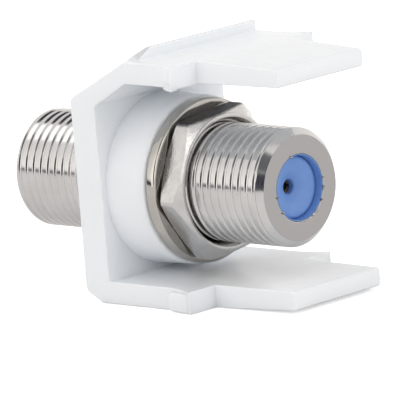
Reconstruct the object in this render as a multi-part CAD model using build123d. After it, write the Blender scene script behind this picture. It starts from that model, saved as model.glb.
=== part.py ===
"""Snap-in panel insert with a female to female F coupler.

A white moulded frame snaps into a panel opening. A threaded metal coupler runs through
its plate and collar, held by a six-sided flange in front and a washer and nut behind.
Millimetres. +Y points out of the rear port, +Z is up, and the part lies on its lower arm.
"""
from build123d import *
import math
import os

# Moulded frame, measured from the front face of the plate and from the coupler's axis
FRAME_WIDTH = 14.77
PLATE_THICK = 2.54
PLATE_BOTTOM = 8.00       # bottom edge of the plate's front face, below the axis
ARM_TOP = 10.68           # outer face of the upper latch arm
ARM_BOTTOM = 8.86         # outer face of the lower arm, below the axis
UPPER_WALL = 1.76
LOWER_WALL = 1.79
SLOPE_REACH = 6.15        # where the sloping latch wall meets the level arm, outside
SLOPE_RISE = 3.20         # from the plate's front top edge to the arm, outside
SLOPE_INNER_REACH = 6.00  # the same corner, inside
SLOPE_INNER_RISE = 1.96   # from the plate to the arm, inside
FOOT_REACH = 1.64         # length of the chamfer under the plate
BODY_REACH = 11.86        # end of the full-width part of both arms
ARM_REACH = 20.03         # tips of both arms
NECK_WIDTH = 10.40        # arms behind the barbs
TIP_WIDTH = 9.90
TAPER_GAP = 1.00          # the arms start to thin out this far behind the barbs
UPPER_TIP_DROP = 0.36
LOWER_TIP_RISE = 0.30
FRAME_EDGE = 0.12         # chamfer across the frame, and rounding along its sides

# Side barbs and catch ridge, which hold the frame in the panel
BARB_START = 8.90
BARB_PROUD = 0.90
RIDGE_REAR = 6.65         # upright face that catches behind the panel's lip
RIDGE_HEIGHT = 0.77
RIDGE_CREST = 0.35
RIDGE_RAMP = 1.10         # length of the ramp in front of the crest
RIDGE_END_GAP = 1.20      # plain strip beside the ridge's sloping end
RIDGE_END_SLOPE = 1.40

# Collar behind the plate
COLLAR_R = 6.87
COLLAR_REACH = 6.45       # rear face of the collar
COLLAR_DRAFT = 2.8        # degrees
COLLAR_EDGE = 0.12        # chamfer round the rear face

# Coupler body, 3/8-32 thread measured over its crests
THREAD_R = 4.70
SHANK_DROP = 0.20         # down to the mean thread, under the nut, washer and moulding
END_CHAMFER = 0.55
FRONT_PORT = 9.38         # thread in front of the flange
REAR_PORT = 7.40          # thread behind the nut
HEXAGON_WALL = 0.855      # from the crests to the flats of the flange and of the nut
FLANGE_THICK = 2.40
FLANGE_PROUD = 0.60       # stands out of its pocket in the plate
FLANGE_CHAMFER = 0.35
PORT_WALL = 1.25          # between the crests and the bore
LIP_R = 2.66              # opening in the rear lip and in the front ring
LIP_THICK = 1.00

# Washer and nut behind the collar
WASHER_R = 6.57
WASHER_THICK = 0.95
WASHER_EDGE = 0.22        # chamfer round both faces
NUT_THICK = 2.07
NUT_FACE_DROP = 0.105     # from the flats to the round edge of each face
NUT_CHAMFER_ANGLE = 28.0
NUT_COUNTERSINK = 0.30
NUT_TURN = -6.0           # degrees, where the nut stopped when it was tightened

# Insulators, contact and front ring inside the coupler
FACE_RECESS = 0.05        # the insulators sit just below the ports' end faces
FUNNEL_WALL = 0.10
FUNNEL_STEP = 0.50
FUNNEL_MID_R = 1.30
FUNNEL_MID_DEPTH = 0.78
HOLE_R = 0.58
HOLE_DEPTH = 1.20
HOLE_WEB = 0.50
CONTACT_R = 1.05
CONTACT_COLLAR_R = 1.70
CONTACT_COLLAR = 1.50
SOCKET_R = 0.40           # relaxed, so that it grips the cable's centre wire
SOCKET_DEPTH = 6.00
SLIT_WIDTH = 0.22
SLIT_LENGTH = 4.50
CONTACT_TAPER = 0.30
RING_SEAT = 0.30          # step that the ring is pressed into
RING_THICK = 1.00

# Clearances
SEAT_GAP = 0.02           # between faces that bear on each other
RUN_GAP = 0.05            # round the thread in the nut, and inside the coupler
FRAME_GAP = 0.10          # round the coupler in the moulding
WASHER_GAP = 0.15

# Places that follow from the sizes above
HALF_WIDTH = FRAME_WIDTH / 2
UPPER_INNER = ARM_TOP - UPPER_WALL
PLATE_TOP = ARM_TOP - SLOPE_RISE
PLATE_INNER_TOP = UPPER_INNER - SLOPE_INNER_RISE
LOWER_INNER = LOWER_WALL - ARM_BOTTOM
TAPER_START = BODY_REACH + TAPER_GAP
SHANK_R = THREAD_R - SHANK_DROP
BORE_R = THREAD_R - PORT_WALL
RING_R = BORE_R + RING_SEAT
INSULATOR_R = BORE_R - RUN_GAP
ACROSS_FLATS = 2 * (THREAD_R + HEXAGON_WALL)
NUT_FACE_R = ACROSS_FLATS / 2 - NUT_FACE_DROP
POCKET_DEPTH = FLANGE_THICK - FLANGE_PROUD
FRONT_END = -FLANGE_PROUD - FRONT_PORT
WASHER_FRONT = COLLAR_REACH + SEAT_GAP
WASHER_REAR = WASHER_FRONT + WASHER_THICK
NUT_FRONT = WASHER_REAR + SEAT_GAP
NUT_REAR = NUT_FRONT + NUT_THICK
REAR_END = NUT_REAR + REAR_PORT
COUPLER_MIDDLE = (FRONT_END + REAR_END) / 2


def turned(points):
    """Solid of revolution about Y from a closed outline of (radius, y) points."""
    outline = Polygon(*points, align=None)
    return revolve(outline, Axis.Y)


def cylinder_y(radius, start, end):
    """Plain cylinder along Y."""
    return extrude(Plane.XZ.offset(-start) * Circle(radius), -(end - start))


def hexagon_y(across, start, end, turn=0.0):
    """Six-sided prism along Y, turned about Y so that positive lifts +X towards +Z."""
    corner_r = across / 2 / math.cos(math.radians(30))
    corners = [
        (corner_r * math.cos(math.radians(turn + 60 * i)), corner_r * math.sin(math.radians(turn + 60 * i)))
        for i in range(6)
    ]
    return extrude(Plane.XZ.offset(-start) * Polygon(*corners, align=None), -(end - start))


def frame_side():
    """Side outline of the frame in (y, z): plate, sloping latch wall and two arms."""
    return Polygon(
        (0, -PLATE_BOTTOM),
        (0, PLATE_TOP),
        (SLOPE_REACH, ARM_TOP),
        (TAPER_START, ARM_TOP),
        (ARM_REACH, ARM_TOP - UPPER_TIP_DROP),
        (ARM_REACH, UPPER_INNER),
        (SLOPE_INNER_REACH, UPPER_INNER),
        (PLATE_THICK, PLATE_INNER_TOP),
        (PLATE_THICK, LOWER_INNER),
        (ARM_REACH, LOWER_INNER),
        (ARM_REACH, LOWER_TIP_RISE - ARM_BOTTOM),
        (TAPER_START, -ARM_BOTTOM),
        (FOOT_REACH, -ARM_BOTTOM),
        align=None,
    )


def frame_plan():
    """Plan outline of the frame in (x, y): full-width body, flared barbs, narrower arms."""
    barb_x = HALF_WIDTH + BARB_PROUD
    nose = Polyline((0, 0), (HALF_WIDTH, 0), (HALF_WIDTH, BARB_START))
    flare = TangentArc((HALF_WIDTH, BARB_START), (barb_x, BODY_REACH), tangent=(0, 1))
    neck = Polyline(
        (barb_x, BODY_REACH),
        (NECK_WIDTH / 2, BODY_REACH),
        (TIP_WIDTH / 2, ARM_REACH),
        (0, ARM_REACH),
    )
    half = Curve() + [nose, flare, neck]
    return make_face(half + mirror(half, Plane.YZ))


def catch_ridge():
    """Ridge across the upper arm: ramp in front, upright behind, one end sloping."""
    foot = ARM_TOP - UPPER_WALL / 2
    crest = ARM_TOP + RIDGE_HEIGHT
    ramp_top = RIDGE_REAR - RIDGE_CREST
    ramp_foot = ramp_top - RIDGE_RAMP
    side = Polygon(
        (ramp_foot, foot),
        (ramp_foot, crest - RIDGE_RAMP),
        (ramp_top, crest),
        (RIDGE_REAR, crest),
        (RIDGE_REAR, foot),
        align=None,
    )
    end_x = HALF_WIDTH - RIDGE_END_GAP
    front = Polygon(
        (-HALF_WIDTH, foot),
        (-HALF_WIDTH, crest),
        (end_x - RIDGE_END_SLOPE, crest),
        (end_x, ARM_TOP),
        (end_x, foot),
        align=None,
    )
    across = extrude(Plane.YZ * side, HALF_WIDTH, both=True)
    along = extrude(Plane.XZ * front, ARM_REACH, both=True)
    return across & along


def housing():
    """White moulding: frame, catch ridge and collar, bored for the coupler."""
    tall = ARM_TOP + ARM_BOTTOM
    block = extrude(Plane.YZ * frame_side(), FRAME_WIDTH, both=True)
    block = chamfer(block.edges().filter_by(Axis.X), FRAME_EDGE)
    frame = block & extrude(frame_plan(), tall, both=True)
    edges = frame.edges()
    side_edges = edges - edges.filter_by(Axis.X) - edges.filter_by(Axis.Z)
    frame = fillet(side_edges, FRAME_EDGE)
    taper = (COLLAR_REACH - COLLAR_EDGE - PLATE_THICK) * math.tan(math.radians(COLLAR_DRAFT))
    collar = turned([
        (0, PLATE_THICK / 2),
        (COLLAR_R, PLATE_THICK / 2),
        (COLLAR_R, PLATE_THICK),
        (COLLAR_R - taper, COLLAR_REACH - COLLAR_EDGE),
        (COLLAR_R - taper - COLLAR_EDGE, COLLAR_REACH),
        (0, COLLAR_REACH),
    ])
    body = frame + collar + catch_ridge()
    bore = cylinder_y(THREAD_R + FRAME_GAP, -PLATE_THICK, COLLAR_REACH + PLATE_THICK)
    pocket = hexagon_y(ACROSS_FLATS + 2 * FRAME_GAP, -PLATE_THICK, POCKET_DEPTH)
    return body - bore - pocket


def coupler_body():
    """Turned body: six-sided flange, two threaded ports, stepped bore with a rear lip."""
    rod = turned([
        (0, FRONT_END),
        (THREAD_R - END_CHAMFER, FRONT_END),
        (THREAD_R, FRONT_END + END_CHAMFER),
        (THREAD_R, 0),
        (SHANK_R, 0),
        (SHANK_R, NUT_REAR),
        (THREAD_R, NUT_REAR),
        (THREAD_R, REAR_END - END_CHAMFER),
        (THREAD_R - END_CHAMFER, REAR_END),
        (0, REAR_END),
    ])
    corner_r = ACROSS_FLATS / 2 / math.cos(math.radians(30))
    face_r = ACROSS_FLATS / 2
    flange = hexagon_y(ACROSS_FLATS, -FLANGE_PROUD, POCKET_DEPTH - SEAT_GAP)
    flange = flange & turned([
        (0, -FLANGE_PROUD),
        (face_r, -FLANGE_PROUD),
        (corner_r, -FLANGE_PROUD + FLANGE_CHAMFER),
        (corner_r, POCKET_DEPTH),
        (0, POCKET_DEPTH),
    ])
    bore = turned([
        (0, FRONT_END - LIP_THICK),
        (RING_R, FRONT_END - LIP_THICK),
        (RING_R, FRONT_END + RING_THICK),
        (BORE_R, FRONT_END + RING_THICK),
        (BORE_R, REAR_END - LIP_THICK),
        (LIP_R, REAR_END - LIP_THICK),
        (LIP_R, REAR_END + LIP_THICK),
        (0, REAR_END + LIP_THICK),
    ])
    return rod + flange - bore


def washer():
    """Plain washer with broken outer edges."""
    hole_r = THREAD_R + WASHER_GAP
    return turned([
        (hole_r, WASHER_FRONT),
        (WASHER_R - WASHER_EDGE, WASHER_FRONT),
        (WASHER_R, WASHER_FRONT + WASHER_EDGE),
        (WASHER_R, WASHER_REAR - WASHER_EDGE),
        (WASHER_R - WASHER_EDGE, WASHER_REAR),
        (hole_r, WASHER_REAR),
    ])


def panel_nut():
    """Six-sided nut: both faces chamfered to a round and countersunk at the bore."""
    corner_r = ACROSS_FLATS / 2 / math.cos(math.radians(30))
    drop = (corner_r - NUT_FACE_R) * math.tan(math.radians(NUT_CHAMFER_ANGLE))
    bore_r = THREAD_R + RUN_GAP
    mouth_r = bore_r + NUT_COUNTERSINK
    blank = hexagon_y(ACROSS_FLATS, NUT_FRONT, NUT_REAR, NUT_TURN)
    return blank & turned([
        (mouth_r, NUT_FRONT),
        (NUT_FACE_R, NUT_FRONT),
        (corner_r, NUT_FRONT + drop),
        (corner_r, NUT_REAR - drop),
        (NUT_FACE_R, NUT_REAR),
        (mouth_r, NUT_REAR),
        (bore_r, NUT_REAR - NUT_COUNTERSINK),
        (bore_r, NUT_FRONT + NUT_COUNTERSINK),
    ])


def insulator(nose_length):
    """Insert with its face at y = 0 and its body towards -Y, funnelled to a small hole."""
    nose_r = LIP_R - RUN_GAP
    length = (REAR_END - FRONT_END) / 2 - FACE_RECESS - CONTACT_COLLAR / 2 - SEAT_GAP
    shoulder = nose_length - FACE_RECESS + SEAT_GAP
    contact_bore = CONTACT_R + RUN_GAP
    return turned([
        (nose_r, 0),
        (nose_r, -shoulder),
        (INSULATOR_R, -shoulder),
        (INSULATOR_R, -length),
        (contact_bore, -length),
        (contact_bore, -HOLE_DEPTH - HOLE_WEB),
        (HOLE_R, -HOLE_DEPTH - HOLE_WEB),
        (HOLE_R, -HOLE_DEPTH),
        (FUNNEL_MID_R, -FUNNEL_MID_DEPTH),
        (nose_r - FUNNEL_WALL, -FUNNEL_STEP),
        (nose_r - FUNNEL_WALL, 0),
    ])


def rear_insulator():
    """Blue insert behind the rear lip."""
    return Pos(0, REAR_END - FACE_RECESS, 0) * insulator(LIP_THICK)


def front_insulator():
    """Its mirror image, held by the pressed ring."""
    return mirror(Pos(0, -FRONT_END - FACE_RECESS, 0) * insulator(RING_THICK), Plane.XZ)


def centre_contact():
    """Turned contact: a slit socket at each end and a collar between the two insulators."""
    half = (REAR_END - FRONT_END) / 2 - FACE_RECESS - HOLE_DEPTH - HOLE_WEB - SEAT_GAP
    front, rear = COUPLER_MIDDLE - half, COUPLER_MIDDLE + half
    collar = CONTACT_COLLAR / 2
    body = turned([
        (0, front),
        (CONTACT_R - CONTACT_TAPER, front),
        (CONTACT_R, front + 2 * CONTACT_TAPER),
        (CONTACT_R, COUPLER_MIDDLE - collar),
        (CONTACT_COLLAR_R, COUPLER_MIDDLE - collar),
        (CONTACT_COLLAR_R, COUPLER_MIDDLE + collar),
        (CONTACT_R, COUPLER_MIDDLE + collar),
        (CONTACT_R, rear - 2 * CONTACT_TAPER),
        (CONTACT_R - CONTACT_TAPER, rear),
        (0, rear),
    ])
    slit = Box(2 * CONTACT_COLLAR_R, 2 * SLIT_LENGTH, SLIT_WIDTH)
    for mouth, floor in ((front, front + SOCKET_DEPTH), (rear, rear - SOCKET_DEPTH)):
        body -= cylinder_y(SOCKET_R, mouth, floor)
        for turn in (0, 90):
            body -= Pos(0, mouth, 0) * Rot(0, turn, 0) * slit
    return body


def end_ring():
    """Ring pressed into the front end to hold the insulators."""
    outer_r = RING_R - SEAT_GAP
    front = FRONT_END + FACE_RECESS
    rear = FRONT_END + RING_THICK - SEAT_GAP
    return cylinder_y(outer_r, front, rear) - cylinder_y(LIP_R, front - RING_THICK, rear + RING_THICK)


def placed(shape):
    """Moves a piece so that the origin is under the middle of the whole part."""
    middle = (FRONT_END + max(ARM_REACH, REAR_END)) / 2
    return Pos(0, -middle, ARM_BOTTOM) * shape


PIECES = {
    "housing": housing,
    "coupler_body": coupler_body,
    "washer": washer,
    "panel_nut": panel_nut,
    "rear_insulator": rear_insulator,
    "front_insulator": front_insulator,
    "centre_contact": centre_contact,
    "end_ring": end_ring,
}

os.makedirs("parts", exist_ok=True)
for name, make in PIECES.items():
    export_step(placed(make()), f"parts/{name}.step")
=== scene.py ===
import bpy
import math
import numpy as np
from mathutils import Euler, Matrix, Vector


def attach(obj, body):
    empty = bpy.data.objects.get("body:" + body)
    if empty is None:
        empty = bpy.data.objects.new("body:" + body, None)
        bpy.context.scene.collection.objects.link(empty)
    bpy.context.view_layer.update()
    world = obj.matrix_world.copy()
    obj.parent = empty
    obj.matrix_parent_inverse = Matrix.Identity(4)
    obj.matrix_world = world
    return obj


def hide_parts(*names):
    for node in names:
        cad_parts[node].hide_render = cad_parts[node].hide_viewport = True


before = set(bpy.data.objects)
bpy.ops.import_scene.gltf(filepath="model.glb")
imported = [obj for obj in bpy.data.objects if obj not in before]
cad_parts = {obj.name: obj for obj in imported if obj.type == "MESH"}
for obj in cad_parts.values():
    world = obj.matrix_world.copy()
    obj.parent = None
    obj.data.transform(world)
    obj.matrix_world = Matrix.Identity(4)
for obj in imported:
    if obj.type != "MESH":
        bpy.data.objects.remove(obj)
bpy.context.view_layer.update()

# White frame with its collar, two latch arms, side barbs and catch ridge: one injection
# moulding in glossy ABS. It carries everything else, and its shape is the CAD solid's own.


def welded(points, faces, cell):
    """Joins the points that fall in one cell of the given size. Gives the points that are left,
    the faces that keep all their corners, and the triangles made of quads that lost one corner."""
    steps = np.round(points / cell).astype(np.int64)
    _, first, joined = np.unique(steps, axis=0, return_index=True, return_inverse=True)
    faces = joined.reshape(-1)[faces]
    repeats = faces == np.roll(faces, -1, axis=1)
    folded = (faces == np.roll(faces, -2, axis=1)).any(axis=1)
    single = (repeats.sum(axis=1) == 1) & ~folded
    triangles = faces[single][~repeats[single]].reshape(-1, 3)
    return points[first], faces[(repeats.sum(axis=1) == 0) & ~folded], triangles


def moulding_mesh(node):
    """Copy of a CAD mesh with the corners of its loose triangles joined where they coincide."""
    source = node.data
    corners = np.empty(len(source.vertices) * 3, np.float32)
    source.vertices.foreach_get("co", corners)
    triangles = np.empty(len(source.loops), np.int32)
    source.loops.foreach_get("vertex_index", triangles)
    corners, triangles, _ = welded(corners.reshape(-1, 3), triangles.reshape(-1, 3), cell=1e-7)
    mesh = bpy.data.meshes.new("housing_moulding")
    mesh.from_pydata(corners, [], triangles.tolist())
    mesh.shade_smooth()
    mesh.set_sharp_from_angle(angle=math.radians(50))
    return mesh


def coordinates(tree):
    """Object coordinates, the only ones that the finishes use."""
    return tree.nodes.new("ShaderNodeTexCoord").outputs["Object"]


def noise(tree, vector, scale, detail=2.0, roughness=0.5):
    """Noise texture with its scale given in cycles per metre."""
    node = tree.nodes.new("ShaderNodeTexNoise")
    node.inputs["Scale"].default_value = scale
    node.inputs["Detail"].default_value = detail
    node.inputs["Roughness"].default_value = roughness
    tree.links.new(vector, node.inputs["Vector"])
    return node.outputs["Fac"]


def spread(tree, value, low, high, start=0.3, end=0.7):
    """Maps the value from start..end to low..high, clamped."""
    node = tree.nodes.new("ShaderNodeMapRange")
    for name, number in (("From Min", start), ("From Max", end), ("To Min", low), ("To Max", high)):
        node.inputs[name].default_value = number
    tree.links.new(value, node.inputs["Value"])
    return node.outputs["Result"]


def blend(tree, factor, first, second):
    """Colour that goes from first to second with the factor; each is a colour or a socket. The
    Mix node's sockets 6 and 7 are its two colours, and its output 2 is their blend."""
    node = tree.nodes.new("ShaderNodeMix")
    node.data_type = "RGBA"
    tree.links.new(factor, node.inputs["Factor"])
    for socket, colour in ((node.inputs[6], first), (node.inputs[7], second)):
        if isinstance(colour, tuple):
            socket.default_value = (*colour, 1.0)
        else:
            tree.links.new(colour, socket)
    return node.outputs[2]


def bump(tree, height, distance):
    """Normal from a height between 0 and 1, whose full step is the distance in metres."""
    node = tree.nodes.new("ShaderNodeBump")
    node.inputs["Strength"].default_value = 1.0
    node.inputs["Distance"].default_value = distance
    tree.links.new(height, node.inputs["Height"])
    return node.outputs["Normal"]


def finish_of(name):
    """New material with its node tree and its Principled shader."""
    material = bpy.data.materials.new(name)
    material.use_nodes = True
    return material, material.node_tree, material.node_tree.nodes["Principled BSDF"]


def white_moulding():
    """Glossy white ABS: a trace of flow mottling in colour and gloss, and a very soft orange peel."""
    material, tree, shader = finish_of("glossy_white_abs")
    where = coordinates(tree)
    tint = blend(tree, noise(tree, where, 260.0, 3.0), (0.856, 0.889, 0.930), (0.864, 0.896, 0.935))
    gloss = spread(tree, noise(tree, where, 900.0), 0.22, 0.26)
    peel = bump(tree, noise(tree, where, 1500.0, 1.0), 0.0000012)
    tree.links.new(tint, shader.inputs["Base Color"])
    tree.links.new(gloss, shader.inputs["Roughness"])
    tree.links.new(peel, shader.inputs["Normal"])
    shader.inputs["IOR"].default_value = 1.52
    shader.inputs["Subsurface Weight"].default_value = 0.4
    shader.inputs["Subsurface Scale"].default_value = 0.0012
    shader.inputs["Subsurface Radius"].default_value = (1.0, 1.0, 1.0)
    return material


def add_piece(mesh, material, body, node):
    """Puts the mesh in the scene with its finish, on its CAD body and in the place of its node."""
    piece = bpy.data.objects.new(mesh.name, mesh)
    bpy.context.scene.collection.objects.link(piece)
    piece.data.materials.append(material)
    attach(piece, body)
    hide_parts(node)
    return piece


white = white_moulding()
moulding = moulding_mesh(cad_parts["housing"])
housing = add_piece(moulding, white, "insert", "housing")
weighting = housing.modifiers.new("weighted", "WEIGHTED_NORMAL")
weighting.keep_sharp = True
weighting.weight = 80

# Thickenings of the side barbs, part of the same moulding: a low pad along each lower barb and
# a small foot under each upper one. They stand a little out of the barbs' sides.
PLATE_FRONT = -0.005025          # the plate's front face, which the places along Y start from
WELD = 2e-7                      # points of a surface that are this close are one


def soft_block(name, centre, half, lean):
    """Superellipsoid: a ball's point is scaled to the half sizes after each of its sines and
    cosines is raised to a low power, which makes it a box with soft edges. Its X also leans with
    Y, to follow the flare of the barb. It is mirrored to the other side in the same mesh."""
    low_power = 0.3
    around_y = np.linspace(0, 2 * np.pi, 49)[None, :]
    rise = np.linspace(-np.pi / 2, np.pi / 2, 25)[:, None]

    def boxed(value):
        """The value raised to the low power, with its sign kept."""
        return np.sign(value) * np.abs(value) ** low_power

    along = half[1] * boxed(np.cos(rise)) * boxed(np.sin(around_y))
    across = half[0] * boxed(np.cos(rise)) * boxed(np.cos(around_y)) + lean * along
    height = half[2] * boxed(np.sin(rise)) + 0 * around_y
    points = np.stack([centre[0] + across, centre[1] + along, centre[2] + height], axis=-1)
    rows, columns = points.shape[:2]
    first = (np.arange(rows - 1)[:, None] * columns + np.arange(columns - 1)).reshape(-1, 1)
    quads = first + np.array([[0, 1, columns + 1, columns]])
    points = points.reshape(-1, 3)
    both = np.concatenate([points, points * (-1, 1, 1)])
    quads = np.concatenate([quads, quads[:, ::-1] + len(points)])
    corners, quads, triangles = welded(both, quads, WELD)
    mesh = bpy.data.meshes.new(name)
    mesh.from_pydata(corners, [], quads.tolist() + triangles.tolist())
    mesh.shade_smooth()
    return mesh


lower_pads = soft_block(
    "lower_barb_pads",
    centre=(0.00749, PLATE_FRONT + 0.01052, 0.00081),
    half=(0.00060, 0.00132, 0.00078),
    lean=0.154,
)
add_piece(lower_pads, white, "insert", "housing")
upper_feet = soft_block(
    "upper_barb_feet",
    centre=(0.00743, PLATE_FRONT + 0.01102, 0.01793),
    half=(0.00042, 0.00082, 0.00035),
    lean=0.445,
)
add_piece(upper_feet, white, "insert", "housing")

# Coupler body: brass, turned from hexagon bar, nickel plated. Its two ports have the
# 3/8-32 thread, and the hexagon flange sits in the plate's pocket, hidden from behind.
AXIS_HEIGHT = 0.00886            # the coupler's axis runs along Y at this height, at X = 0
PITCH = 0.00079375               # 32 threads to the inch
CREST_R = 0.00470
THREAD_DEPTH = 0.00014
CREST_SHARE = 0.24               # half of the flat crest, as a share of the pitch
FLANK_SHARE = 0.22               # width of one flank, as a share of the pitch
THREAD_PHASE = 0.5               # moves the crests along Y, as a share of the pitch
THREAD_COLUMNS = 180
PORT_END_R = 0.00415             # where each end chamfer meets the end face
REAR_ROOT = PLATE_FRONT + 0.0060     # where the rear port starts, inside the collar
REAR_END = PLATE_FRONT + 0.01691
FRONT_ROOT = PLATE_FRONT - 0.0003    # where the front port starts, inside the flange
FRONT_END = PLATE_FRONT - 0.00998
BORE_R = 0.00345
LIP_R = 0.00266                  # mouth of the rear port, whose lip holds the insulator
RING_R = 0.00375                 # mouth of the front port, which the front ring fills
LIP_THICK = 0.00100
EDGE_BREAK = 0.00008             # rounding of the mouths' edges


def around(radius, angle, along):
    """Points at the radius and angle about the coupler's axis, angle 0 up and 90 towards +X."""
    return np.stack(
        [radius * np.sin(angle), along + 0 * angle, AXIS_HEIGHT + radius * np.cos(angle)], axis=-1
    )


def skin(name, points):
    """Mesh over a closed grid of points (rows, columns, 3): neighbours share an edge, the last
    row joins the first, coincident points are one, and the faces point outwards, which makes the
    sum of the tetrahedra from the origin to the faces positive."""
    points = np.concatenate([points, points[:1]])
    grid = np.arange(points.shape[0] * points.shape[1]).reshape(points.shape[:2])
    quads = np.stack([grid[:-1, :-1], grid[:-1, 1:], grid[1:, 1:], grid[1:, :-1]], axis=-1)
    corners, quads, triangles = welded(points.reshape(-1, 3), quads.reshape(-1, 4), WELD)
    a, b, c, d = (corners[quads[:, i]] for i in range(4))
    volume = np.einsum("ij,ij->", a, np.cross(b, c)) + np.einsum("ij,ij->", a, np.cross(c, d))
    if volume < 0:
        quads, triangles = quads[:, ::-1], triangles[:, ::-1]
    mesh = bpy.data.meshes.new(name)
    mesh.from_pydata(corners, [], quads.tolist() + triangles.tolist())
    mesh.shade_smooth()
    return mesh


def softened(corners, reach, steps=5):
    """Closed outline of (radius, along) points with each corner replaced by a quadratic curve,
    which starts and ends the given reach away from it on its two edges, or just short of an
    edge's middle where the edge is too short for that."""
    corners = np.array(corners, float)
    before = np.roll(corners, 1, axis=0) - corners
    after = np.roll(corners, -1, axis=0) - corners
    lengths = [np.linalg.norm(side, axis=1, keepdims=True) for side in (before, after)]
    reach = np.broadcast_to(np.array(reach, float).reshape(-1, 1), (len(corners), 1))
    start = corners + before / lengths[0] * np.minimum(reach, lengths[0] / 2.2)
    end = corners + after / lengths[1] * np.minimum(reach, lengths[1] / 2.2)
    t = np.linspace(0, 1, steps).reshape(1, -1, 1)
    start, middle, end = start[:, None], corners[:, None], end[:, None]
    return ((1 - t) ** 2 * start + 2 * t * (1 - t) * middle + t**2 * end).reshape(-1, 2)


def turned(name, outline, columns=160):
    """Solid of revolution about the coupler's axis, from a closed outline of (radius, along)."""
    outline = np.array(outline, float)
    angle = np.linspace(0, 2 * np.pi, columns + 1)
    return skin(name, around(outline[:, :1], angle[None, :], outline[:, 1:]))


def mouth(mouth_r, open_end, hidden_end):
    """Outline of (radius, along) from the end face into the port: a broken edge, the mouth
    through the lip, and the wider bore behind it back to the hidden end."""
    inwards = math.copysign(1.0, hidden_end - open_end)
    return [
        (mouth_r + 3 * EDGE_BREAK, open_end),
        (mouth_r + EDGE_BREAK, open_end),
        (mouth_r + 0.3 * EDGE_BREAK, open_end + inwards * 0.3 * EDGE_BREAK),
        (mouth_r, open_end + inwards * EDGE_BREAK),
        (mouth_r, open_end + inwards * LIP_THICK),
        (BORE_R, open_end + inwards * LIP_THICK),
        (BORE_R, hidden_end),
    ]


def threaded(name, mouth_r, open_end, hidden_end):
    """Threaded port from a hidden end to an open end with a chamfer. Rows follow the helix: a
    point is at row + pitch * angle / turn along Y, held between the two ends. Its radius falls
    from the crest to the root by a smooth step over the flank, and is cut by a cone of 45
    degrees at both ends. The outline of the mouth and bore closes the surface."""
    low, high = min(hidden_end, open_end), max(hidden_end, open_end)
    last_flat_row = CREST_SHARE - 0.03
    flank_rows = CREST_SHARE + FLANK_SHARE * np.linspace(0, 1, 7)
    half = np.concatenate([[0.0, last_flat_row], flank_rows])
    place = np.concatenate([-half[:0:-1], half, [0.5]])
    turns = np.arange(math.floor(low / PITCH) - 2, math.ceil(high / PITCH) + 2)
    rows = (PITCH * (turns[:, None] + place + THREAD_PHASE)).reshape(-1)
    place = np.tile(np.abs(place), len(turns))
    angle = np.linspace(0, 2 * np.pi, THREAD_COLUMNS + 1)[None, :]
    along = np.clip(rows[:, None] + PITCH * angle / (2 * np.pi), low, high)
    flank = np.clip((place - CREST_SHARE) / FLANK_SHARE, 0, 1)
    depth = THREAD_DEPTH * flank**2 * (3 - 2 * flank)
    to_end = np.minimum(along - low, high - along)
    radius = np.minimum(CREST_R - depth[:, None], PORT_END_R + to_end)
    thread = around(radius, angle, along)
    if open_end < hidden_end:
        thread = thread[::-1]
    inside = np.array(mouth(mouth_r, open_end, hidden_end))
    return skin(name, np.concatenate([thread, around(inside[:, :1], angle, inside[:, 1:])]))


def turning_marks():
    """Node group for turned and plated metal. Rings: fine grooves that follow the distance from
    the coupler's axis and the place along it. Pits: sparse small dents left in plated metal."""
    group = bpy.data.node_groups.new("turning_marks", "ShaderNodeTree")
    group.interface.new_socket("Vector", in_out="INPUT", socket_type="NodeSocketVector")
    group.interface.new_socket("Fineness", in_out="INPUT", socket_type="NodeSocketFloat")
    group.interface.new_socket("Rings", in_out="OUTPUT", socket_type="NodeSocketFloat")
    group.interface.new_socket("Pits", in_out="OUTPUT", socket_type="NodeSocketFloat")
    enter = group.nodes.new("NodeGroupInput")
    leave = group.nodes.new("NodeGroupOutput")
    centre = group.nodes.new("ShaderNodeVectorMath")
    centre.operation = "SUBTRACT"
    centre.inputs[1].default_value = (0, 0, AXIS_HEIGHT)
    group.links.new(enter.outputs["Vector"], centre.inputs[0])
    flat = group.nodes.new("ShaderNodeVectorMath")
    flat.operation = "MULTIPLY"
    flat.inputs[1].default_value = (1, 0, 1)
    group.links.new(centre.outputs[0], flat.inputs[0])
    radius = group.nodes.new("ShaderNodeVectorMath")
    radius.operation = "LENGTH"
    group.links.new(flat.outputs[0], radius.inputs[0])
    split = group.nodes.new("ShaderNodeSeparateXYZ")
    group.links.new(centre.outputs[0], split.inputs[0])
    ring = group.nodes.new("ShaderNodeCombineXYZ")
    group.links.new(radius.outputs["Value"], ring.inputs["X"])
    group.links.new(split.outputs["Y"], ring.inputs["Y"])
    grooves = group.nodes.new("ShaderNodeTexNoise")
    grooves.inputs["Detail"].default_value = 3.0
    group.links.new(ring.outputs[0], grooves.inputs["Vector"])
    group.links.new(enter.outputs["Fineness"], grooves.inputs["Scale"])
    group.links.new(grooves.outputs["Fac"], leave.inputs["Rings"])
    dents = group.nodes.new("ShaderNodeTexVoronoi")
    dents.inputs["Scale"].default_value = 2600.0
    group.links.new(centre.outputs[0], dents.inputs["Vector"])
    pit = spread(group, dents.outputs["Distance"], 0.0, 1.0, 0.05, 0.22)
    group.links.new(pit, leave.inputs["Pits"])
    return group


TURNING_MARKS = turning_marks()


def marks_on(tree, where, fineness):
    """The turning marks' group, placed in a material with its own fineness."""
    marks = tree.nodes.new("ShaderNodeGroup")
    marks.node_tree = TURNING_MARKS
    marks.inputs["Fineness"].default_value = fineness
    tree.links.new(where, marks.inputs["Vector"])
    return marks


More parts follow.
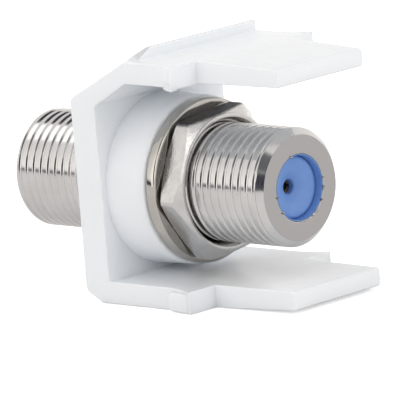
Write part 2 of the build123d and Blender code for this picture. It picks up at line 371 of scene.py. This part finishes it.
def nickel(name, light, dark, smooth, rough, groove, fineness):
    """Bright nickel over turned metal: cloudy tint between two colours, gloss that changes with
    the turning marks, and their shallow grooves. The two end faces of the coupler get a greyer
    colour, which is painted shade for the darker reflection they show. They are found by their
    distance along Y from its middle."""
    material, tree, shader = finish_of(name)
    where = coordinates(tree)
    marks = marks_on(tree, where, fineness)
    cloud = spread(tree, noise(tree, where, 420.0, 4.0, 0.6), 0.0, 1.0)
    along = tree.nodes.new("ShaderNodeVectorMath")
    along.operation = "MULTIPLY"
    along.inputs[1].default_value = (0, 1, 0)
    tree.links.new(where, along.inputs[0])
    from_middle = tree.nodes.new("ShaderNodeVectorMath")
    from_middle.operation = "DISTANCE"
    from_middle.inputs[1].default_value = (0, (REAR_END + FRONT_END) / 2, 0)
    tree.links.new(along.outputs[0], from_middle.inputs[0])
    half = (REAR_END - FRONT_END) / 2
    # Painted shade: the two end faces get a greyer colour in place of the darker reflection they
    # show.
    painted_end_shade = spread(tree, from_middle.outputs["Value"], 0.0, 1.0, half - 0.00002, half - 0.00001)
    painted_end_grey = (0.445, 0.432, 0.432)
    tint = blend(tree, painted_end_shade, blend(tree, cloud, light, dark), painted_end_grey)
    tree.links.new(tint, shader.inputs["Base Color"])
    tree.links.new(spread(tree, marks.outputs["Rings"], smooth, rough), shader.inputs["Roughness"])
    tree.links.new(bump(tree, marks.outputs["Rings"], groove), shader.inputs["Normal"])
    shader.inputs["Metallic"].default_value = 1.0
    return material


plated = nickel(
    "bright_nickel",
    light=(0.67, 0.66, 0.655), dark=(0.60, 0.59, 0.585),
    smooth=0.10, rough=0.20, groove=0.0000014, fineness=9000.0,
)
for name, mouth_r, open_end, hidden_end in (
    ("rear_port_thread", LIP_R, REAR_END, REAR_ROOT),
    ("front_port_thread", RING_R, FRONT_END, FRONT_ROOT),
):
    port = threaded(name, mouth_r, open_end, hidden_end)
    port.set_sharp_from_angle(angle=math.radians(40))
    add_piece(port, plated, "insert", "coupler_body")

ACROSS_FLATS = 0.01111
FLANGE_FRONT = PLATE_FRONT - 0.00060
FLANGE_REAR = PLATE_FRONT + 0.00178
FLANGE_CORNER_R = 0.00637        # its corners are turned off at this radius
FLANGE_CHAMFER = 0.00035
FLANGE_EDGE = 0.00005


def hexagon_angles(turn):
    """Angles round a hexagon with a corner at the turn: even steps that straddle each corner,
    which leaves a narrow facet there, and close pairs at the middle of each flat. The last is
    the first again, one turn on."""
    from_flat = np.concatenate([[0.9, 1.6], np.linspace(3.0, 57.0, 24), [58.4, 59.1]])
    from_turn = np.arange(6)[:, None] * 60.0 + from_flat[None, :] + 30.0
    return np.radians(np.append(from_turn.reshape(-1), 390.9)) + turn


def hexagon_radius(angle, turn, corner_r):
    """Radius of a hexagon at each angle: half its width over the cosine of the angle from the
    nearest flat's middle, with the corners turned off at their radius."""
    from_flat = (angle - turn) % (np.pi / 3) - np.pi / 6
    return np.minimum(ACROSS_FLATS / 2 / np.cos(from_flat), corner_r)


def flange_mesh():
    """Six-sided flange. At each angle the outline goes out over the front face, down a chamfer
    to the hexagon's radius there, and back in over the rear face."""
    angle = hexagon_angles(0.0)
    radius = hexagon_radius(angle, 0.0, FLANGE_CORNER_R)
    face_r = ACROSS_FLATS / 2 - FLANGE_EDGE
    drop = (radius - face_r) * FLANGE_CHAMFER / (FLANGE_CORNER_R - face_r) + 0.00002
    outline = [
        (BORE_R, FLANGE_FRONT),
        (face_r - FLANGE_EDGE, FLANGE_FRONT),
        (face_r, FLANGE_FRONT),
        (radius, FLANGE_FRONT + drop),
        (radius, FLANGE_REAR - FLANGE_EDGE),
        (radius - FLANGE_EDGE, FLANGE_REAR),
        (BORE_R, FLANGE_REAR),
    ]
    return skin("coupler_flange", np.stack([around(r, np.pi / 2 - angle, y) for r, y in outline]))


flange = flange_mesh()
flange.set_sharp_from_angle(angle=math.radians(14))
add_piece(flange, plated, "insert", "coupler_body")


def burr_mesh():
    """Torn edge of the plating round the rear lip. A bell curve of the angle at each flake, times
    a fine ripple, lifts the edge and leans it in over the insulator. Places and widths of the
    flakes are in degrees. Between them the edge stays hidden in the lip's metal."""
    angle = np.linspace(0, 2 * np.pi, 4 * 360 + 1)
    place = np.array([[16], [97], [127], [184], [205], [217], [239], [260], [277]])
    width = np.array([[2], [2], [3], [12], [2.5], [5], [3], [4], [2]])
    flake = np.exp(-(((np.degrees(angle) - place) / width) ** 2)).sum(axis=0)
    flake = flake * (0.85 + 0.10 * np.sin(47 * angle) + 0.10 * np.sin(83 * angle))
    reach = 0.00019 * flake - 0.00004
    lift = 0.00030 * flake - 0.00008
    outline = [
        (LIP_R + 0.00006, REAR_END - 0.00004),
        (LIP_R + 0.00004, REAR_END + lift),
        (LIP_R - reach, REAR_END + 0.7 * lift),
        (LIP_R - 0.5 * reach, REAR_END - 0.00009),
    ]
    return skin("lip_burr", np.stack([around(r, angle, y) for r, y in outline]))


add_piece(burr_mesh(), plated, "insert", "coupler_body")

# Blue insulators: one moulded polyethylene insert in each port, with a shallow funnel that
# leads the cable's bare centre wire into a small hole. The rear lip and the front ring hold them.
NOSE_R = LIP_R - 0.00003         # the part inside the lip or the ring
NOSE_LENGTH = 0.00097
INSULATOR_R = BORE_R - 0.00005
INSULATOR_LENGTH = 0.01262
HOLE_R = 0.00058
HOLE_END = 0.00170               # depth at which the hole opens into the contact's chamber
CHAMBER_R = 0.00110


def insulator_mesh(name, face, inwards):
    """Turned insert whose face is at the given place and whose body goes inwards (+1 or -1): a thin
    rim, a narrow groove inside it, a rounded shoulder, a gentle cone, a steeper one, and the hole.
    Each corner is given as (radius, depth) with the reach of its rounding."""
    corners = [
        ((NOSE_R, 0.0), 0.00002),
        ((NOSE_R, NOSE_LENGTH), 0.00002),
        ((INSULATOR_R, NOSE_LENGTH), 0.0001),
        ((INSULATOR_R, INSULATOR_LENGTH), 0.0001),
        ((CHAMBER_R, INSULATOR_LENGTH), 0.0001),
        ((CHAMBER_R, HOLE_END), 0.0001),
        ((HOLE_R, HOLE_END), 0.00003),
        ((HOLE_R, 0.00120), 0.00012),
        ((0.00130, 0.00078), 0.00030),
        ((0.00234, 0.00048), 0.00042),
        ((NOSE_R - 0.00010, 0.00082), 0.00004),
        ((NOSE_R - 0.00007, 0.0), 0.00002),
    ]
    outline = softened([place for place, _ in corners], [reach for _, reach in corners], steps=8)
    return turned(name, outline * (1, inwards) + (0, face), columns=128)


def blue_insulator():
    """Satin blue polyethylene: faint paler clouds, and a soft moulded grain in gloss and height."""
    material, tree, shader = finish_of("satin_blue_polyethylene")
    where = coordinates(tree)
    cloud = spread(tree, noise(tree, where, 500.0, 3.0), 0.0, 1.0)
    tint = blend(tree, cloud, (0.135, 0.275, 0.62), (0.17, 0.325, 0.68))
    tree.links.new(tint, shader.inputs["Base Color"])
    tree.links.new(spread(tree, noise(tree, where, 2500.0), 0.38, 0.52), shader.inputs["Roughness"])
    tree.links.new(bump(tree, noise(tree, where, 5000.0), 0.000003), shader.inputs["Normal"])
    return material


blue = blue_insulator()
for name, node, face, inwards in (
    ("rear_insulator_insert", "rear_insulator", REAR_END - 0.00002, -1),
    ("front_insulator_insert", "front_insulator", FRONT_END + 0.00002, 1),
):
    insert = insulator_mesh(name, face, inwards)
    insert.set_sharp_from_angle(angle=math.radians(60))
    add_piece(insert, blue, "insert", node)

# Centre contact: turned spring bronze with a slit socket at each end. Only its mouth shows, at
# the bottom of each funnel, so the CAD solid stays and gets its metal.


def spring_bronze():
    """Plain bronze: warm tint that drifts a little, and a gloss with a fine grain."""
    material, tree, shader = finish_of("spring_bronze")
    where = coordinates(tree)
    drift = spread(tree, noise(tree, where, 800.0), 0.0, 1.0)
    tint = blend(tree, drift, (0.62, 0.44, 0.22), (0.52, 0.36, 0.18))
    tree.links.new(tint, shader.inputs["Base Color"])
    tree.links.new(spread(tree, noise(tree, where, 6000.0), 0.25, 0.40), shader.inputs["Roughness"])
    shader.inputs["Metallic"].default_value = 1.0
    return material


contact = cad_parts["centre_contact"]
contact.data.materials.clear()
contact.data.materials.append(spring_bronze())

# Front ring: a turned brass ring pressed into the front port, almost flush with its face, to
# hold the insulators. It has the coupler's plating.
RING_OUTER_R = RING_R - 0.00002
RING_FACE = FRONT_END + 0.00005
RING_BACK = FRONT_END + 0.00098
ring_outline = softened(
    [(LIP_R, RING_FACE), (RING_OUTER_R, RING_FACE), (RING_OUTER_R, RING_BACK), (LIP_R, RING_BACK)],
    [0.00010, 0.00006, 0.00006, 0.00006],
)
ring = turned("end_ring_turned", ring_outline)
ring.set_sharp_from_angle(angle=math.radians(60))
add_piece(ring, plated, "insert", "end_ring")

# Washer: a stamped brass ring between the collar and the nut, nickel plated and polished. It
# slides back along the thread with the nut.
WASHER_FRONT = PLATE_FRONT + 0.00647
WASHER_REAR = PLATE_FRONT + 0.00742
WASHER_R = 0.00657
WASHER_HOLE_R = 0.00485
washer_outline = softened(
    [
        (WASHER_HOLE_R, WASHER_FRONT),
        (WASHER_R, WASHER_FRONT),
        (WASHER_R, WASHER_REAR),
        (WASHER_HOLE_R, WASHER_REAR),
    ],
    [0.00010, 0.00030, 0.00034, 0.00010],
    steps=9,
)
washer = turned("washer_polished", washer_outline, columns=240)
washer.set_sharp_from_angle(angle=math.radians(60))
polished = nickel(
    "polished_nickel",
    light=(0.54, 0.52, 0.49), dark=(0.46, 0.44, 0.41),
    smooth=0.06, rough=0.12, groove=0.0000004, fineness=5000.0,
)
add_piece(washer, polished, "washer", "washer")

# Panel nut: six-sided, cut from brass bar, tapped 3/8-32, chamfered on both faces and
# countersunk, then nickel plated in a tumbling barrel, which leaves small knocks on its flats.
NUT_FRONT = PLATE_FRONT + 0.00744
NUT_REAR = PLATE_FRONT + 0.00951
NUT_TURN = math.radians(-6.0)    # one of its corners, from +X towards +Z
NUT_CORNER_R = 0.00636
NUT_FACE_R = 0.00545
NUT_MOUTH_R = 0.00508
NUT_BORE_R = 0.00475             # a plain bore at the crests' size, with clearance
NUT_REAR_SINK = 0.00070          # depths of the countersinks
NUT_FRONT_SINK = 0.00030
NUT_LIP = 0.00008                # the lip round the bore stands out of the chamfered face
NUT_CHAMFER_SLOPE = math.tan(math.radians(23.0))


def nut_mesh():
    """At each angle the outline goes up the countersink, over the rounded lip, down the chamfer's
    cone to the hexagon's radius there, along the flat, up the front chamfer, and back along the
    bore."""
    angle = hexagon_angles(NUT_TURN)
    radius = hexagon_radius(angle, NUT_TURN, NUT_CORNER_R)
    drop = (radius - NUT_FACE_R) * NUT_CHAMFER_SLOPE
    front_chamfer = NUT_FRONT + drop
    rear_chamfer = NUT_REAR - NUT_LIP - drop
    edge_in, edge_down = 0.00002, 0.00003
    outline = [
        (NUT_BORE_R, NUT_REAR - NUT_REAR_SINK),
        (NUT_MOUTH_R, NUT_REAR - 0.00006),
        (NUT_MOUTH_R + 0.00005, NUT_REAR),
        (NUT_FACE_R - 0.00018, NUT_REAR),
        (NUT_FACE_R - 0.00006, NUT_REAR - 0.4 * NUT_LIP),
        (NUT_FACE_R, NUT_REAR - NUT_LIP),
        (radius - edge_in, rear_chamfer),
        (radius, rear_chamfer - edge_down),
        (radius, front_chamfer + edge_down),
        (radius - edge_in, front_chamfer),
        (NUT_FACE_R, NUT_FRONT),
        (NUT_MOUTH_R, NUT_FRONT),
        (NUT_BORE_R, NUT_FRONT + NUT_FRONT_SINK),
    ]
    return skin("panel_nut_plated", np.stack([around(r, np.pi / 2 - angle, y) for r, y in outline]))


def knocked_nickel():
    """Barrel-plated nickel: fine knocks, which are the turning marks' pits times a grain, a cloudy
    gloss, and painted shade on one flat: a darker colour with fine speckles and a greyer reflection
    tint, which stand in for the dark reflection on the upper flat as the nut is tightened. The
    painted shade comes in over the last 0.2 mm below that flat."""
    material, tree, shader = finish_of("knocked_nickel")
    where = coordinates(tree)
    marks = marks_on(tree, where, 7000.0)
    cloud = spread(tree, noise(tree, where, 700.0, 5.0, 0.65), 0.0, 1.0)
    clean = blend(tree, cloud, (0.67, 0.66, 0.65), (0.55, 0.54, 0.53))
    flat = NUT_TURN + math.radians(90.0)
    facing = tree.nodes.new("ShaderNodeVectorMath")
    facing.operation = "DOT_PRODUCT"
    facing.inputs[1].default_value = (math.cos(flat), 0, math.sin(flat))
    tree.links.new(where, facing.inputs[0])
    level = AXIS_HEIGHT * math.sin(flat) + ACROSS_FLATS / 2
    # Painted shade: this mask darkens the upper flat, with speckles, in place of the dark reflection
    # it shows.
    painted_dark_flat = spread(tree, facing.outputs["Value"], 0.0, 1.0, level - 0.00020, level - 0.00002)
    speckle = spread(tree, noise(tree, where, 3500.0, 4.0, 0.7), 0.0, 1.0, 0.35, 0.65)
    painted_dark_colour = blend(tree, speckle, (0.09, 0.09, 0.095), (0.27, 0.265, 0.265))
    painted_dark_tint = blend(tree, painted_dark_flat, (1.0, 1.0, 1.0), (0.40, 0.40, 0.41))
    dull = spread(tree, noise(tree, where, 1800.0, 6.0, 0.7), 0.18, 0.28)
    grain = spread(tree, noise(tree, where, 4200.0, 3.0, 0.6), 0.55, 1.0, 0.40, 0.62)
    knocks = tree.nodes.new("ShaderNodeMath")
    knocks.operation = "MULTIPLY"
    tree.links.new(marks.outputs["Pits"], knocks.inputs[0])
    tree.links.new(grain, knocks.inputs[1])
    # The painted shade goes into the base colour and also greys the reflection's tint on that flat.
    tree.links.new(blend(tree, painted_dark_flat, clean, painted_dark_colour), shader.inputs["Base Color"])
    tree.links.new(painted_dark_tint, shader.inputs["Specular Tint"])
    tree.links.new(dull, shader.inputs["Roughness"])
    tree.links.new(bump(tree, knocks.outputs[0], 0.0000110), shader.inputs["Normal"])
    shader.inputs["Metallic"].default_value = 1.0
    return material


nut = nut_mesh()
nut.set_sharp_from_angle(angle=math.radians(14))
add_piece(nut, knocked_nickel(), "nut", "panel_nut")

# Floor: a plain pale sheet of paper, larger than any view, which keeps the part's soft shadow.
# The part's lower arm rests flat on it.
FLOOR_REACH = 3.0                # half of the sheet's side


def pale_sheet():
    """White paper: lit as it is, plus a glow that makes the clean sheet white. Metal sees less
    of the glow than the camera does."""
    material, tree, shader = finish_of("pale_paper")
    shader.inputs["Base Color"].default_value = (0.84, 0.84, 0.84, 1)
    shader.inputs["Roughness"].default_value = 0.9
    shader.inputs["Specular IOR Level"].default_value = 0.0
    seen = tree.nodes.new("ShaderNodeLightPath")
    strength = tree.nodes.new("ShaderNodeMath")
    strength.operation = "ADD"
    for socket, ray, share in zip(strength.inputs, ("Is Camera Ray", "Is Glossy Ray"), (0.50, 0.06)):
        part = tree.nodes.new("ShaderNodeMath")
        part.operation = "MULTIPLY"
        part.inputs[1].default_value = share
        tree.links.new(seen.outputs[ray], part.inputs[0])
        tree.links.new(part.outputs[0], socket)
    glow = tree.nodes.new("ShaderNodeEmission")
    tree.links.new(strength.outputs[0], glow.inputs["Strength"])
    both = tree.nodes.new("ShaderNodeAddShader")
    tree.links.new(shader.outputs[0], both.inputs[0])
    tree.links.new(glow.outputs[0], both.inputs[1])
    tree.links.new(both.outputs[0], tree.nodes["Material Output"].inputs["Surface"])
    return material


sheet = bpy.data.meshes.new("floor_sheet")
sheet.from_pydata(
    [(x * FLOOR_REACH, y * FLOOR_REACH, 0) for x, y in ((-1, -1), (1, -1), (1, 1), (-1, 1))],
    [],
    [(0, 1, 2, 3)],
)
sheet.materials.append(pale_sheet())
floor = bpy.data.objects.new("floor_sheet", sheet)
bpy.context.scene.collection.objects.link(floor)

# Studio: an even white tent, brighter along its foot towards the near rear side. The part sees
# the dark gaps that a tent has, and the camera doesn't: a band low down on the camera's left, the
# opening on the camera's side, a paler gap above it, and one high up beyond the plate.


def studio_world():
    """World whose light depends on its direction only. Direction is the Generated coordinate."""
    world = bpy.data.worlds.new("studio_tent")
    bpy.context.scene.world = world
    world.use_nodes = True
    tree = world.node_tree
    background = tree.nodes["Background"]
    direction = tree.nodes.new("ShaderNodeTexCoord").outputs["Generated"]
    split = tree.nodes.new("ShaderNodeSeparateXYZ")
    tree.links.new(direction, split.inputs[0])
    height = split.outputs["Z"]

    def towards(x, y, z, start, end):
        """1 inside a cone about the direction, 0 outside it, with a soft edge."""
        facing = tree.nodes.new("ShaderNodeVectorMath")
        facing.operation = "DOT_PRODUCT"
        facing.inputs[1].default_value = Vector((x, y, z)).normalized()
        tree.links.new(direction, facing.inputs[0])
        return spread(tree, facing.outputs["Value"], 0.0, 1.0, start, end)

    def times(first, second):
        """Product of two masks."""
        node = tree.nodes.new("ShaderNodeMath")
        node.operation = "MULTIPLY"
        tree.links.new(first, node.inputs[0])
        tree.links.new(second, node.inputs[1])
        return node.outputs[0]

    sky = spread(tree, height, 0.0, 1.0, -0.03, 0.0)
    low_down = spread(tree, height, 1.0, 0.0, 0.05, 0.10)
    high_up = spread(tree, height, 0.0, 1.0, 0.24, 0.30)
    band = times(sky, times(low_down, towards(0.71, -0.70, 0.02, 0.80, 0.92)))
    opening = times(sky, towards(0.71, 0.68, 0.18, 0.93, 0.965))
    above = towards(0.40, 0.64, 0.66, 0.945, 0.975)
    beyond = times(high_up, towards(-0.45, -0.68, 0.58, 0.925, 0.945))
    near_side = towards(0.90, 0.43, 0.05, 0.20, 0.95)
    foot = blend(tree, near_side, (1.12, 1.09, 1.06), (2.06, 1.99, 1.93))
    tent = blend(tree, spread(tree, height, 0.0, 1.0, 0.0, 1.0), foot, (0.90, 0.88, 0.86))
    tent = blend(tree, band, tent, (0.03, 0.035, 0.05))
    tent = blend(tree, opening, tent, (0.05, 0.055, 0.07))
    tent = blend(tree, above, tent, (0.16, 0.165, 0.18))
    tent = blend(tree, beyond, tent, (0.06, 0.06, 0.08))
    path = tree.nodes.new("ShaderNodeLightPath")
    shown = blend(tree, path.outputs["Is Camera Ray"], tent, (1.0, 1.0, 1.0))
    tree.links.new(shown, background.inputs["Color"])
    background.inputs["Strength"].default_value = 1.0


studio_world()


def soft_box(name, place, aim, size, power):
    """Square lamp at a place, aimed at a point, with its power in watts."""
    lamp = bpy.data.lights.new(name, "AREA")
    lamp.size = size
    lamp.energy = power
    box = bpy.data.objects.new(name, lamp)
    box.location = place
    box.rotation_euler = (Vector(aim) - Vector(place)).to_track_quat("-Z", "Y").to_euler()
    bpy.context.scene.collection.objects.link(box)


soft_box("top_box", (0.026, -0.307, 0.338), (0, 0, 0.01), size=0.22, power=0.18)
soft_box("fill_box", (-0.08, 0.36, 0.22), (0, 0.01, 0.01), size=0.20, power=0.20)
soft_box("rim_box", (-0.44, 0.055, 0.075), (0, 0, 0.01), size=0.12, power=0.05)

# Camera: a long lens from behind and to one side, a little above the part, and rolled slightly.
# Its place and focal length were fitted to points read off the photograph.
AIM = Vector((-0.0000469, 0.0009750, 0.0071379))
AZIMUTH = math.radians(133.9303)
ELEVATION = math.radians(10.6303)
ROLL = math.radians(-4.8775)
DISTANCE = 0.564877
SENSOR_WIDTH = 36.0              # in millimetres, as the focal length is
PICTURE_WIDTH = 400              # in pixels
FOCAL_PIXELS = 7165.21
lens = bpy.data.cameras.new("camera")
lens.sensor_width = SENSOR_WIDTH
lens.lens = FOCAL_PIXELS * SENSOR_WIDTH / PICTURE_WIDTH
lens.clip_start = 0.01
lens.clip_end = 20.0
camera = bpy.data.objects.new("camera", lens)
turn = Euler((math.pi / 2 - ELEVATION, 0, AZIMUTH)).to_matrix() @ Matrix.Rotation(ROLL, 3, "Z")
camera.matrix_world = Matrix.Translation(AIM + turn @ Vector((0, 0, DISTANCE))) @ turn.to_4x4()
bpy.context.scene.collection.objects.link(camera)
bpy.context.scene.camera = camera
bpy.context.scene.view_settings.view_transform = "Standard"
